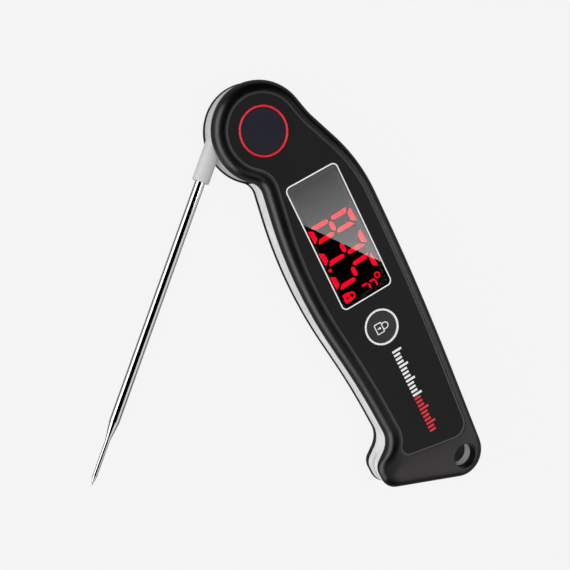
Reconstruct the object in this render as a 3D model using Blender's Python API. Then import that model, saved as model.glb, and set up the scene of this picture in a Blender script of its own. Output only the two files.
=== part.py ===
"""Folding probe thermometer, lying on its back with the probe part open.

The handle is a front shell and a rear shell with a light frame between them. The probe hub turns
between the shells at the pivot end, and its arm holds the steel probe. Closed, the probe lies in a
channel along the frame's edge, and the heel at the tail covers the tip.

Sizes are in millimetres. X runs from the pivot to the tail, Y across the handle, away from the
probe, and Z out of the display. The origin is on the pivot axis, in the plane of the back.
"""

from math import atan2, copysign, cos, pi, radians, sin, sqrt, tan

import bmesh
import bpy
from mathutils import Matrix, Vector

MM = 0.001
GAP = 0.3
ARC_STEPS = 5
RIM_STEPS = 5
WASHER_SEGMENTS = 36
HUB_SEGMENTS = 48

# Heights of the layers, from the back up to the face.
REAR_FLOOR = 2.4
REAR_EDGE = 6.0
FRONT_EDGE = 14.6
FRONT_CEILING = 16.5
PANEL_FLOOR = 17.7
FACE = 19.0
PANEL_BACK = PANEL_FLOOR + GAP
BAND_LOW = REAR_EDGE + GAP
BAND_HIGH = FRONT_EDGE - GAP
BAND_INSET = 0.35

# Pivot end.
HEAD_RADIUS = 17.2
PANEL_HEAD_RADIUS = 13.0
HUB_RADIUS = HEAD_RADIUS - BAND_INSET
SHAFT_RADIUS = 4.0
SHAFT_LOW = 2.7
SHAFT_HIGH = 15.6
ACCENT_INNER = 7.65
ACCENT_OUTER = 8.75

# Probe, measured along its own line, which passes beside the pivot axis.
REST_OPENING = radians(48.25)
PROBE_OFFSET = 12.35
PROBE_HEIGHT = (BAND_LOW + BAND_HIGH) / 2
PROBE_RADIUS = 1.75
ARM_RADIUS = 2.95
ARM_END = 22.7
TUBE_START = 6.0
TAPER_START = 107.3
TAPER_END = 114.0
TIP_END = 129.7
TIP_RADIUS = 0.8
CHANNEL_HALF_HEIGHT = 2.15
CHANNEL_SIDE = PROBE_OFFSET - PROBE_RADIUS - GAP
CHANNEL_END = 117.5
TIP_SLOT_HALF_HEIGHT = 1.3
TIP_SLOT_SIDE = PROBE_OFFSET - TIP_RADIUS - GAP

# Display window and buttons.
WINDOW = (20.6, -2.35, 67.8, 18.1)
WINDOW_CORNER = 1.8
LOCK_CENTRE = (79.9, 7.6)
LOCK_RADIUS = 5.65
LOCK_RING_OUTER = 6.65
UNIT_CENTRE = (74.0, 8.0)
UNIT_RADIUS = 2.3
UNIT_BOTTOM = 0.4

# Tail and battery bay.
HANG_CENTRE = (139.5, 15.5)
HANG_RADIUS = 4.6
HANG_MOUTH_RADIUS = 5.0
HANG_MOUTH_DEPTH = 1.0
SLEEVE_RADIUS = 5.4
SLEEVE_END = 13.2
COLLAR_END = 9.1
TAIL_RADIUS = 9.3
CELL_LENGTH = 44.5
CELL_RADIUS = 5.25
CELL_START = 85.4
CELL_SIDE = 8.0
CELL_HEIGHT = REAR_FLOOR + GAP + CELL_RADIUS
COVER = (81.3, 0.5, 133.6, 15.5)
COVER_THICKNESS = 1.1
COVER_SCREW = (131.4, 8.0)
HOUSING_SCREWS = ((20.9, -3.2), (15.5, 17.2), (128.2, -7.8), (133.8, 21.2))

# Circuit board.
BOARD = (25.2, -5.0, 84.5, 22.0)
BOARD_LOW = 13.0
BOARD_HIGH = BOARD_LOW + 1.6

# Outline corners as (x, y, rounding radius), anticlockwise from the neck on the probe's side.
# Both outlines have the same corners in the same order, so that a surface can run between them.
BODY_CORNERS = [
    (16.0, -8.4, 5.5),
    (52.3, -14.55, 165.0),
    (97.2, -8.7, 250.0),
    (119.3, -7.7, 8.0),
    (125.4, -16.2, 5.0),
    (134.5, -16.0, 6.0),
    (152.1, 23.3, TAIL_RADIUS),
    (76.0, 28.15, 1000.0),
    (24.2, 28.05, 60.0),
    (1.7, 18.25, 30.0),
]
PANEL_CORNERS = [
    (14.2, -3.8, 8.0),
    (52.6, -9.8, 150.0),
    (94.7, -4.4, 380.0),
    (118.9, -3.3, 10.0),
    (123.2, -6.2, 3.0),
    (126.6, -5.0, 3.0),
    (132.3, 20.5, 5.5),
    (74.0, 24.1, 1000.0),
    (25.6, 24.05, 52.0),
    (2.4, 14.0, 34.0),
]
CAVITY_CORNERS = [
    (24.5, -6.4, 2.0),
    (36.0, -8.4, 8.0),
    (72.0, -8.4, 20.0),
    (110.0, -5.2, 20.0),
    (131.0, -5.2, 2.0),
    (131.0, 22.4, 2.0),
    (70.0, 25.7, 100.0),
    (30.0, 25.3, 15.0),
    (24.5, 23.9, 2.0),
]


# Outlines


def head_corners(radius):
    """Corners of a polygon that touches the head's circle, each to be rounded close to it.

    The rounding is a little smaller than the circle, so that neighbouring arcs don't run together.
    """
    touching = [105, 165, 225, 285, 320]
    corners = []
    for first, last in zip(touching, touching[1:]):
        middle = radians((first + last) / 2)
        distance = radius / cos(radians(last - first) / 2)
        corners.append((distance * cos(middle), distance * sin(middle), 0.985 * radius))
    return corners


def neighbours(items):
    """Each item of a closed list with the one before it and the one after it."""
    return zip(items[-1:] + items[:-1], items, items[1:] + items[:1])


def turn_between(first, second):
    return atan2(first.cross(second), first.dot(second))


def rounded(corners, steps=ARC_STEPS):
    """Points of a closed outline whose corners are rounded by arcs."""
    points = []
    for before, (x, y, radius), after in neighbours(corners):
        corner = Vector((x, y))
        arriving = (corner - Vector(before[:2])).normalized()
        leaving = (Vector(after[:2]) - corner).normalized()
        turn = turn_between(arriving, leaving)
        start = corner - arriving * radius * tan(abs(turn) / 2)
        to_centre = Vector((-arriving.y, arriving.x)) * copysign(radius, turn)
        for step in range(steps + 1):
            arm = to_centre.copy()
            arm.rotate(Matrix.Rotation(turn * step / steps, 2))
            points.append(start + to_centre - arm)
    return points


def inset(corners, distance):
    """The corners of the same outline moved inwards, or outwards for a negative distance."""
    moved = []
    for before, (x, y, radius), after in neighbours(corners):
        corner = Vector((x, y))
        arriving = (corner - Vector(before[:2])).normalized()
        leaving = (Vector(after[:2]) - corner).normalized()
        turn = turn_between(arriving, leaving)
        inwards = Vector((-arriving.y, arriving.x)) + arriving * -tan(turn / 2)
        place = corner + inwards * distance
        moved.append((place.x, place.y, radius - copysign(distance, turn)))
    return moved


def rectangle(box, radius, grow=0.0):
    """Corners of a rounded rectangle from its lowest and highest x and y."""
    left, low, right, high = box[0] - grow, box[1] - grow, box[2] + grow, box[3] + grow
    reach = radius + grow
    return [(left, low, reach), (right, low, reach), (right, high, reach), (left, high, reach)]


def segments_for(radius):
    """More segments on a larger circle, always a multiple of four."""
    return 8 + 4 * round(sqrt(2 * radius))


def circle(radius, centre=(0.0, 0.0), segments=None):
    segments = segments or segments_for(radius)
    angles = [2 * pi * step / segments for step in range(segments)]
    return [Vector((centre[0] + radius * cos(a), centre[1] + radius * sin(a))) for a in angles]


def at_height(outline, height):
    return [(point.x, point.y, height) for point in outline]


def between(first, second, share):
    return [a.lerp(b, share) for a, b in zip(first, second)]


BODY = BODY_CORNERS + head_corners(HEAD_RADIUS)
PANEL = PANEL_CORNERS + head_corners(PANEL_HEAD_RADIUS)


# Meshes and materials


def loft(name, rings, material=None, closed=False):
    """One solid through rings of equally many points, capped at both ends unless closed."""
    mesh = bmesh.new()
    loops = [[mesh.verts.new(Vector(point) * MM) for point in ring] for ring in rings]
    pairs = list(zip(loops, loops[1:]))
    if closed:
        pairs.append((loops[-1], loops[0]))
    else:
        mesh.faces.new(loops[0])
        mesh.faces.new(loops[-1])
    for low, high in pairs:
        for index in range(len(low)):
            corners = (low[index - 1], low[index], high[index], high[index - 1])
            mesh.faces.new(corners)
    bmesh.ops.recalc_face_normals(mesh, faces=mesh.faces)
    data = bpy.data.meshes.new(name)
    mesh.to_mesh(data)
    mesh.free()
    data.shade_smooth()
    data.set_sharp_from_angle(angle=radians(35))
    if material:
        data.materials.append(material)
    solid = bpy.data.objects.new(name, data)
    bpy.context.scene.collection.objects.link(solid)
    return solid


def prism(name, outline, low, high, material=None):
    return loft(name, [at_height(outline, low), at_height(outline, high)], material)


def ring(name, inner, outer, low, high, material, centre=(0.0, 0.0)):
    """A flat ring between two radii."""
    profile = ((inner, low), (outer, low), (outer, high), (inner, high))
    segments = segments_for(outer)
    rings = [at_height(circle(radius, centre, segments), height) for radius, height in profile]
    return loft(name, rings, material, closed=True)


def turned(name, profile, material=None, centre=(0.0, 0.0)):
    """A solid of revolution about Z, from (radius, height) pairs running from end to end."""
    segments = segments_for(max(radius for radius, _ in profile))
    rings = [at_height(circle(radius, centre, segments), height) for radius, height in profile]
    return loft(name, rings, material)


def cutter(solid):
    solid.hide_render = True
    solid.display_type = "WIRE"
    return solid


def combine(solid, other, operation="DIFFERENCE"):
    modifier = solid.modifiers.new(other.name, "BOOLEAN")
    modifier.operation = operation
    modifier.object = cutter(other)


def hole(solid, name, radius, low, high, centre=(0.0, 0.0)):
    """Cuts a round hole along Z."""
    combine(solid, prism(name, circle(radius, centre), low, high))


def along_x(solid, x, y, z):
    """Lays a solid that was built along Z onto X, with its base at this place."""
    solid.location = Vector((x, y, z)) * MM
    solid.rotation_euler.y = pi / 2
    return solid


def finish(name, colour, roughness, metallic=0.0):
    material = bpy.data.materials.new(name)
    material.use_nodes = True
    shader = material.node_tree.nodes["Principled BSDF"]
    shader.inputs["Base Color"].default_value = (*colour, 1.0)
    shader.inputs["Roughness"].default_value = roughness
    shader.inputs["Metallic"].default_value = metallic
    return material


def clear_scene():
    for item in list(bpy.data.objects):
        bpy.data.objects.remove(item, do_unlink=True)


# Housing


def rim(edge_height, flat_outline, flat_height):
    """Rings of a pillowed edge, from the body outline to the flat that it runs into."""
    body = rounded(BODY)
    rings = []
    for step in range(RIM_STEPS + 1):
        angle = pi / 2 * step / RIM_STEPS
        height = edge_height + (flat_height - edge_height) * sin(angle)
        rings.append(at_height(between(body, flat_outline, 1 - cos(angle)), height))
    return rings


def cut_screw_holes(solid, low, high, radius=1.3):
    for number, centre in enumerate(HOUSING_SCREWS, 1):
        hole(solid, f"{solid.name}_screw_hole_{number}", radius, low, high, centre)


def build_front_shell():
    rubber = finish("black_soft_plastic", (0.012, 0.012, 0.013), 0.42)
    shell = loft("front_shell", rim(FRONT_EDGE, rounded(PANEL), FACE), rubber)
    recess = rounded(inset(PANEL, -GAP))
    combine(shell, prism("panel_recess", recess, PANEL_FLOOR, FACE + 1))
    cavity = rounded(CAVITY_CORNERS)
    combine(shell, prism("front_cavity", cavity, FRONT_EDGE - 1, FRONT_CEILING))
    window = rounded(rectangle(display_module_box(), 1.0, GAP))
    combine(shell, prism("module_window", window, FRONT_EDGE - 1, FACE))
    hole(shell, "lock_hole", LOCK_RADIUS + GAP, FRONT_EDGE, FACE, LOCK_CENTRE)
    hole(shell, "shaft_socket", SHAFT_RADIUS + GAP, FRONT_EDGE - 1, SHAFT_HIGH + GAP)
    hole(shell, "pivot_screw_hole", 1.55, FRONT_EDGE, FACE)
    hole(shell, "pivot_screw_seat", 3.4, FRONT_CEILING, FACE)
    sleeve = circle(SLEEVE_RADIUS, HANG_CENTRE)
    combine(shell, prism("hang_sleeve", sleeve, SLEEVE_END, FRONT_EDGE + 1), "UNION")
    hole(shell, "front_hang_hole", HANG_RADIUS, SLEEVE_END - 1, FACE + 1, HANG_CENTRE)
    cut_screw_holes(shell, FRONT_EDGE - 1, FRONT_CEILING)


def build_rear_shell():
    rubber = finish("black_rear_plastic", (0.013, 0.013, 0.014), 0.5)
    back = rounded(inset(BODY, 4.5))
    shell = loft("rear_shell", rim(REAR_EDGE, back, 0.0), rubber)
    cavity = rounded(CAVITY_CORNERS)
    combine(shell, prism("rear_cavity", cavity, REAR_FLOOR, REAR_EDGE + 1))
    seat = rounded(rectangle(COVER, 3.0, GAP))
    combine(shell, prism("cover_seat", seat, -1, COVER_THICKNESS + GAP))
    opening = rounded(rectangle(bay_box(), 2.0))
    combine(shell, prism("bay_opening", opening, -1, REAR_FLOOR + 1))
    hole(shell, "shaft_foot_socket", SHAFT_RADIUS + GAP, SHAFT_LOW - GAP, REAR_EDGE + 1)
    hole(shell, "unit_button_hole", UNIT_RADIUS + GAP, -1, REAR_FLOOR + 1, UNIT_CENTRE)
    collar = circle(SLEEVE_RADIUS, HANG_CENTRE)
    combine(shell, prism("hang_collar", collar, REAR_EDGE - 1, COLLAR_END), "UNION")
    wall = circle(HANG_RADIUS, HANG_CENTRE)
    mouth = circle(HANG_MOUTH_RADIUS, HANG_CENTRE, len(wall))
    rings = [at_height(mouth, -1), at_height(mouth, 0), at_height(wall, HANG_MOUTH_DEPTH)]
    rings.append(at_height(wall, COLLAR_END + 1))
    combine(shell, loft("rear_hang_hole", rings))
    hole(shell, "cover_screw_thread", 0.95, -1, REAR_EDGE - 0.6, COVER_SCREW)
    cut_screw_holes(shell, -1, REAR_EDGE + 1)
    for number, centre in enumerate(HOUSING_SCREWS, 1):
        hole(shell, f"screw_seat_{number}", 2.3, -1, REAR_FLOOR, centre)


def cut_slot(frame, name, start, end, side, half_height):
    """Cuts a slot that is open towards the probe, level with the probe."""
    outline = rounded(rectangle((start, -30, end, -side), 0.5))
    combine(frame, prism(name, outline, PROBE_HEIGHT - half_height, PROBE_HEIGHT + half_height))


def build_mid_frame():
    """The light band between the shells, with the probe's channel along its edge."""
    light = finish("light_grey_plastic", (0.62, 0.62, 0.63), 0.45)
    band = rounded(inset(BODY, BAND_INSET))
    frame = prism("mid_frame", band, BAND_LOW, BAND_HIGH, light)
    combine(frame, prism("frame_cavity", rounded(CAVITY_CORNERS), BAND_LOW - 1, BAND_HIGH + 1))
    hole(frame, "hub_clearance", HUB_RADIUS + 2 * GAP, BAND_LOW - 1, BAND_HIGH + 1)
    head_side = rounded(rectangle((-30, -30, 4.5, 30), 1.0))
    combine(frame, prism("head_clearance", head_side, BAND_LOW - 1, BAND_HIGH + 1))
    cut_slot(frame, "probe_channel", 0, CHANNEL_END, CHANNEL_SIDE, CHANNEL_HALF_HEIGHT)
    cut_slot(frame, "tip_slot", CHANNEL_END - 1, 150, TIP_SLOT_SIDE, TIP_SLOT_HALF_HEIGHT)
    arm_side = -(PROBE_OFFSET - ARM_RADIUS - GAP)
    pocket = rounded(rectangle((0, -30, ARM_END + 2 * GAP, arm_side), 0.5))
    combine(frame, prism("arm_pocket", pocket, BAND_LOW - 1, BAND_HIGH + 1))
    hole(frame, "frame_hang_hole", HANG_RADIUS, BAND_LOW - 1, BAND_HIGH, HANG_CENTRE)
    seat = SLEEVE_RADIUS + GAP
    hole(frame, "sleeve_seat", seat, SLEEVE_END - GAP, BAND_HIGH + 1, HANG_CENTRE)
    hole(frame, "collar_seat", seat, BAND_LOW - 1, COLLAR_END + GAP, HANG_CENTRE)
    cut_screw_holes(frame, BAND_LOW - 1, BAND_HIGH + 1)


def build_housing_screws():
    steel = finish("screw_steel", (0.45, 0.45, 0.46), 0.35, 1.0)
    head_low = 0.8
    head_high = head_low + 1.3
    for number, centre in enumerate(HOUSING_SCREWS, 1):
        profile = [(1.6, head_low), (1.9, head_low + 0.3), (1.9, head_high), (1.0, head_high)]
        profile += [(1.0, FRONT_CEILING - 0.8), (0.5, FRONT_CEILING - GAP)]
        turned(f"housing_screw_{number}", profile, steel, centre)


# Face


def build_face_panel():
    glossy = finish("black_gloss_panel", (0.015, 0.015, 0.016), 0.22)
    rings = [at_height(rounded(PANEL), PANEL_BACK)]
    rings.append(at_height(rounded(PANEL), FACE - 0.25))
    rings.append(at_height(rounded(inset(PANEL, 0.25)), FACE))
    panel = loft("face_panel", rings, glossy)
    window = rounded(rectangle(WINDOW, WINDOW_CORNER, GAP))
    combine(panel, prism("panel_window", window, PANEL_FLOOR, FACE + 1))
    hole(panel, "panel_cap_hole", ACCENT_OUTER + GAP, PANEL_FLOOR, FACE + 1)
    hole(panel, "panel_lock_hole", LOCK_RING_OUTER + GAP, PANEL_FLOOR, FACE + 1, LOCK_CENTRE)


def display_module_box():
    """The display module's plan, centred under the window."""
    left, low, right, high = WINDOW
    return left + 2.4, low + 1.9, right - 2.4, high - 1.9


def build_display():
    tinted = finish("smoked_lens", (0.02, 0.018, 0.02), 0.06)
    prism("display_lens", rounded(rectangle(WINDOW, WINDOW_CORNER)), PANEL_BACK, FACE, tinted)
    dark = finish("led_module_black", (0.02, 0.005, 0.006), 0.3)
    module = rounded(rectangle(display_module_box(), 0.8))
    prism("led_display", module, BOARD_HIGH + GAP, PANEL_FLOOR, dark)


def build_pivot_cap():
    red = finish("red_accent", (0.75, 0.02, 0.04), 0.35)
    ring("red_accent_ring", ACCENT_INNER, ACCENT_OUTER, PANEL_BACK, FACE + 0.15, red)
    navy = finish("navy_cap", (0.017, 0.017, 0.03), 0.4)
    edge = ACCENT_INNER - GAP
    top = FACE - 0.1
    profile = [(edge, PANEL_BACK), (edge, top - 0.3), (edge - 0.3, top), (1.0, top)]
    turned("pivot_cap", profile, navy)


def build_lock_button():
    grey = finish("dark_grey_button", (0.035, 0.035, 0.038), 0.5)
    stem_end = FRONT_CEILING - 0.1
    button_base = stem_end + 0.8
    profile = [(1.5, stem_end), (1.5, button_base), (LOCK_RADIUS, button_base)]
    profile += [(LOCK_RADIUS, FACE - 0.35), (LOCK_RADIUS - 0.4, FACE - 0.05), (1.5, FACE + 0.05)]
    button = turned("lock_button", profile, grey)
    button.location = Vector((*LOCK_CENTRE, 0)) * MM
    white = finish("white_ring", (0.85, 0.85, 0.85), 0.35)
    inner = LOCK_RADIUS + GAP
    ring("lock_button_ring", inner, LOCK_RING_OUTER, PANEL_BACK, FACE + 0.1, white, LOCK_CENTRE)


# Hinge and probe


def torus(name, radius, thickness, height, material):
    """A sealing ring of round section."""
    sides = 6
    rings = []
    for step in range(sides):
        angle = 2 * pi * step / sides
        outline = circle(radius + thickness * cos(angle), segments=segments_for(radius))
        rings.append(at_height(outline, height + thickness * sin(angle)))
    return loft(name, rings, material, closed=True)


def wave_washer(name, inner, outer, height, thickness, wave, material):
    """A thin ring that rises and falls three times round."""
    corners = ((inner, -0.5), (outer, -0.5), (outer, 0.5), (inner, 0.5))
    rings = []
    for radius, side in corners:
        outline = circle(radius, segments=WASHER_SEGMENTS)
        rise = [wave * cos(6 * pi * step / WASHER_SEGMENTS) for step in range(WASHER_SEGMENTS)]
        heights = [height + side * thickness + lift for lift in rise]
        rings.append([(point.x, point.y, z) for point, z in zip(outline, heights)])
    return loft(name, rings, material, closed=True)


def hub_disc(material):
    """The hub's disc, with a seat for the washer and grooves for the two sealing rings."""
    bore = SHAFT_RADIUS + GAP
    rear = [(bore, BAND_LOW), (8.6, BAND_LOW), (8.6, BAND_LOW + 1.5), (11.4, BAND_LOW + 1.5)]
    rear += [(11.4, BAND_LOW), (HUB_RADIUS - 0.4, BAND_LOW), (HUB_RADIUS, BAND_LOW + 0.4)]
    front = [(HUB_RADIUS, BAND_HIGH - 0.4), (HUB_RADIUS - 0.4, BAND_HIGH), (11.4, BAND_HIGH)]
    front += [(11.4, BAND_HIGH - 1.5), (8.6, BAND_HIGH - 1.5), (8.6, BAND_HIGH - 0.9)]
    front += [(bore, BAND_HIGH - 0.9)]
    rings = [at_height(circle(radius, segments=HUB_SEGMENTS), z) for radius, z in rear + front]
    return loft("probe_hub", rings, material, closed=True)


def build_hub(pivot):
    light = finish("hub_grey_plastic", (0.6, 0.6, 0.61), 0.42)
    hub = hub_disc(light)
    arm_profile = [(ARM_RADIUS, 4.0), (ARM_RADIUS, ARM_END - 0.3), (ARM_RADIUS - 0.3, ARM_END)]
    arm = turned("hub_arm", arm_profile)
    along_x(arm, 0, -PROBE_OFFSET, PROBE_HEIGHT)
    bore = turned("hub_bore", [(PROBE_RADIUS + GAP, TUBE_START - 0.5), (PROBE_RADIUS + GAP, 40)])
    along_x(bore, 0, -PROBE_OFFSET, PROBE_HEIGHT)
    combine(hub, arm, "UNION")
    combine(hub, bore)
    hole(hub, "wake_magnet_pocket", 1.8, BAND_HIGH - 2.6, BAND_HIGH + 1, wake_magnet_centre())
    for solid in (hub, *(modifier.object for modifier in hub.modifiers)):
        solid.parent = pivot


def wake_magnet_centre():
    """Near the rim, facing the handle when the probe is folded away."""
    return 13.8 * cos(radians(20)), 13.8 * sin(radians(20))


def build_probe(pivot):
    steel = finish("polished_steel", (0.75, 0.75, 0.76), 0.12, 1.0)
    outside = [(0.08, TIP_END), (0.4, TIP_END - 1.6), (TIP_RADIUS, TAPER_END)]
    outside.append((PROBE_RADIUS, TAPER_START))
    bore = [(PROBE_RADIUS, TUBE_START), (1.2, TUBE_START), (1.2, TAPER_START)]
    bore += [(0.45, TAPER_END - 0.5), (0.42, TIP_END - 6.0)]
    tube = turned("probe_tube", outside + bore, steel)
    bead_end = TIP_END - 6.3
    bead_start = bead_end - 2.0
    glass = finish("sensor_glass", (0.3, 0.05, 0.02), 0.3)
    bead = turned("sensor_bead", [(0.22, bead_start), (0.22, bead_end)], glass)
    insulation = finish("lead_insulation", (0.5, 0.5, 0.48), 0.6)
    lead_profile = [(0.55, TUBE_START + 0.5), (0.55, TAPER_START - 1.0), (0.18, TAPER_END)]
    lead_profile.append((0.18, bead_start - GAP))
    lead = turned("sensor_lead", lead_profile, insulation)
    for solid in (tube, bead, lead):
        along_x(solid, 0, -PROBE_OFFSET, PROBE_HEIGHT)
        solid.parent = pivot


def build_hinge(pivot):
    steel = finish("hinge_steel", (0.5, 0.5, 0.51), 0.3, 1.0)
    thread_floor = SHAFT_HIGH - 6.0
    shaft_profile = [(SHAFT_RADIUS, SHAFT_LOW), (SHAFT_RADIUS, SHAFT_HIGH), (1.55, SHAFT_HIGH)]
    shaft_profile.append((1.55, thread_floor))
    turned("pivot_shaft", shaft_profile, steel)
    head_low = FRONT_CEILING + GAP
    screw_profile = [(1.25, thread_floor + GAP), (1.25, head_low), (3.0, head_low)]
    screw_profile += [(3.0, head_low + 0.7), (2.7, PANEL_FLOOR)]
    turned("pivot_screw", screw_profile, steel)
    spring = finish("spring_steel", (0.4, 0.4, 0.42), 0.3, 1.0)
    wave_washer("wave_washer", 4.6, 7.8, BAND_HIGH - 0.35, 0.25, 0.12, spring)
    rubber = finish("seal_rubber", (0.02, 0.02, 0.02), 0.8)
    torus("hub_seal_front", 10.0, 0.75, BAND_HIGH - 0.55, rubber)
    torus("hub_seal_rear", 10.0, 0.75, BAND_LOW + 0.55, rubber)
    magnet = finish("magnet_nickel", (0.55, 0.54, 0.5), 0.25, 1.0)
    low = BAND_HIGH - 2.3
    profile = [(1.5, low), (1.5, BAND_HIGH - GAP)]
    wake = turned("wake_magnet", profile, magnet, wake_magnet_centre())
    wake.parent = pivot


# Electronics and battery


def block(name, box, low, high, material, radius=0.4):
    return prism(name, rounded(rectangle(box, radius), 2), low, high, material)


def around(centre, width, depth):
    return (centre[0] - width / 2, centre[1] - depth / 2, centre[0] + width / 2, centre[1] + depth / 2)


def build_board():
    green = finish("board_green", (0.01, 0.12, 0.04), 0.4)
    block("circuit_board", BOARD, BOARD_LOW, BOARD_HIGH, green, 1.5)
    dark = finish("component_black", (0.02, 0.02, 0.02), 0.5)
    under = BOARD_LOW - GAP
    block("microcontroller", around((50.0, 8.0), 7.0, 7.0), under - 1.2, under, dark)
    block("reed_switch", around((28.5, 5.0), 2.4, 12.0), under - 2.0, under, dark)
    grey = finish("switch_grey", (0.25, 0.25, 0.26), 0.4)
    over = BOARD_HIGH + GAP
    plunger = [(2.6, over), (2.6, over + 0.5), (1.0, over + 0.5), (1.0, over + 0.8)]
    turned("lock_switch", plunger, grey, LOCK_CENTRE)
    plunger = [(1.0, under - 1.6), (1.0, under - 1.2), (2.6, under - 1.2), (2.6, under)]
    turned("unit_switch", plunger, grey, UNIT_CENTRE)


def build_unit_button():
    """The small button in the back, set below the surface that the object lies on."""
    rubber = finish("unit_button_rubber", (0.02, 0.02, 0.022), 0.6)
    flange = REAR_FLOOR + GAP
    stem_end = BOARD_LOW - GAP - 1.6 - 0.5
    profile = [(UNIT_RADIUS - 0.3, UNIT_BOTTOM), (UNIT_RADIUS, UNIT_BOTTOM + 0.3)]
    profile += [(UNIT_RADIUS, flange), (UNIT_RADIUS + 1.0, flange)]
    profile += [(UNIT_RADIUS + 1.0, flange + 0.9), (1.3, flange + 0.9), (1.3, stem_end)]
    button = turned("unit_button", profile, rubber)
    button.location = Vector((*UNIT_CENTRE, 0)) * MM


def build_cell():
    wrap = finish("cell_wrap", (0.08, 0.09, 0.11), 0.3)
    body_end = CELL_LENGTH - 1.0
    profile = [(CELL_RADIUS - 0.4, 0.0), (CELL_RADIUS, 0.4), (CELL_RADIUS, body_end - 0.4)]
    profile += [(CELL_RADIUS - 0.4, body_end), (1.9, body_end), (1.9, CELL_LENGTH)]
    along_x(turned("battery_cell", profile, wrap), CELL_START, CELL_SIDE, CELL_HEIGHT)
    steel = finish("contact_nickel", (0.6, 0.58, 0.52), 0.3, 1.0)
    low = REAR_FLOOR + GAP
    high = BOARD_LOW - GAP
    width = 8.0
    positive = CELL_START + CELL_LENGTH + 0.5
    block("battery_contact", around((positive, CELL_SIDE), 0.4, width), low, high, steel, 0.1)
    build_spring(steel)


def build_spring(material):
    """The cell's spring: a plate's width of wire wound as a cone towards the cell."""
    turns = 3
    per_turn = 10
    length = 2.3
    curve = bpy.data.curves.new("battery_spring", "CURVE")
    curve.dimensions = "3D"
    curve.bevel_depth = 0.25 * MM
    curve.bevel_resolution = 1
    curve.use_fill_caps = True
    spline = curve.splines.new("POLY")
    spline.points.add(turns * per_turn)
    for index, point in enumerate(spline.points):
        share = index / (turns * per_turn)
        angle = 2 * pi * index / per_turn
        radius = 3.6 - 1.6 * share
        place = Vector((length * share, radius * cos(angle), radius * sin(angle))) * MM
        point.co = (*place, 1.0)
    curve.materials.append(material)
    spring = bpy.data.objects.new("battery_spring", curve)
    bpy.context.scene.collection.objects.link(spring)
    spring.location = Vector((CELL_START - 0.6 - length, CELL_SIDE, CELL_HEIGHT)) * MM


def bay_box():
    return CELL_START - 1.4, CELL_SIDE - 6.0, CELL_START + CELL_LENGTH - 0.4, CELL_SIDE + 6.0


def build_battery_cover():
    rubber = finish("cover_plastic", (0.013, 0.013, 0.014), 0.5)
    cover = prism("battery_cover", rounded(rectangle(COVER, 2.7)), 0.0, COVER_THICKNESS, rubber)
    plug = rounded(rectangle(bay_box(), 2.0, -1.2))
    combine(cover, prism("cover_plug", plug, 0.5, REAR_FLOOR - 0.2), "UNION")
    hole(cover, "cover_screw_seat", 1.9, -1, 0.65, COVER_SCREW)
    hole(cover, "cover_screw_hole", 0.95, -1, COVER_THICKNESS + 1, COVER_SCREW)
    seal_rubber = finish("cover_seal_rubber", (0.03, 0.03, 0.03), 0.8)
    outer = rounded(rectangle(bay_box(), 2.0, -0.2))
    inner = rounded(rectangle(bay_box(), 2.0, -1.0))
    low = COVER_THICKNESS + 0.2
    high = low + 0.8
    rings = [at_height(inner, low), at_height(outer, low)]
    rings += [at_height(outer, high), at_height(inner, high)]
    loft("battery_cover_seal", rings, seal_rubber, closed=True)
    steel = finish("cover_screw_steel", (0.45, 0.45, 0.46), 0.35, 1.0)
    profile = [(1.3, 0.05), (1.6, 0.2), (1.6, 0.6), (0.65, 0.6), (0.65, REAR_EDGE - 1.0)]
    turned("cover_screw", profile, steel, COVER_SCREW)


def build_rear_magnets():
    nickel = finish("rear_magnet_nickel", (0.55, 0.54, 0.5), 0.25, 1.0)
    low = REAR_FLOOR + GAP
    for number, x in enumerate((38.0, 58.0), 1):
        turned(f"rear_magnet_{number}", [(5.0, low), (5.0, low + 2.0)], nickel, (x, 8.0))


def main():
    clear_scene()
    pivot = bpy.data.objects.new("probe_pivot", None)
    pivot.rotation_euler.z = -REST_OPENING
    bpy.context.scene.collection.objects.link(pivot)
    build_front_shell()
    build_face_panel()
    build_display()
    build_pivot_cap()
    build_lock_button()
    build_mid_frame()
    build_rear_shell()
    build_housing_screws()
    build_hinge(pivot)
    build_hub(pivot)
    build_probe(pivot)
    build_board()
    build_unit_button()
    build_cell()
    build_battery_cover()
    build_rear_magnets()


main()
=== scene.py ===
"""Looks of the folding probe thermometer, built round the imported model.

Lengths are in millimetres until a mesh is made, in the frame of the CAD model: X runs from the
pivot to the tail, Y across the handle away from the probe, and Z out of the display.
"""

from math import atan2, copysign, cos, pi, radians, sin, sqrt, tan

import bmesh
import bpy
from mathutils import Matrix, Vector


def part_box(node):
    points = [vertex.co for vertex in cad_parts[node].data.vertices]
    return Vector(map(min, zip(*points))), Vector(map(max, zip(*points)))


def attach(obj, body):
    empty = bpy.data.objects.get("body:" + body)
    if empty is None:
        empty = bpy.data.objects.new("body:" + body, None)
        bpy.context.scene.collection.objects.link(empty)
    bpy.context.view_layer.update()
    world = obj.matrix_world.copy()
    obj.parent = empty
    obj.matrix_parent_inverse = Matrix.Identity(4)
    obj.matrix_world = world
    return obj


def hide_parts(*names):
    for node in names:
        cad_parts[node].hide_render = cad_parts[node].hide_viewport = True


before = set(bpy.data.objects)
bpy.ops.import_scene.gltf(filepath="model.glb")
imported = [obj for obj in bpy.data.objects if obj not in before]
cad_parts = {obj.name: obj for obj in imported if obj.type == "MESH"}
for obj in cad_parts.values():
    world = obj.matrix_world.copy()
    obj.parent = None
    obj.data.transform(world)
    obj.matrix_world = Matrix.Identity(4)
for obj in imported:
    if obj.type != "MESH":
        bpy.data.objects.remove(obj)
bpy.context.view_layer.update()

MM = 0.001
GAP = 0.3
ARC_STEPS = 14
RIM_STEPS = 22
ROUND_SEGMENTS = 128


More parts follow.
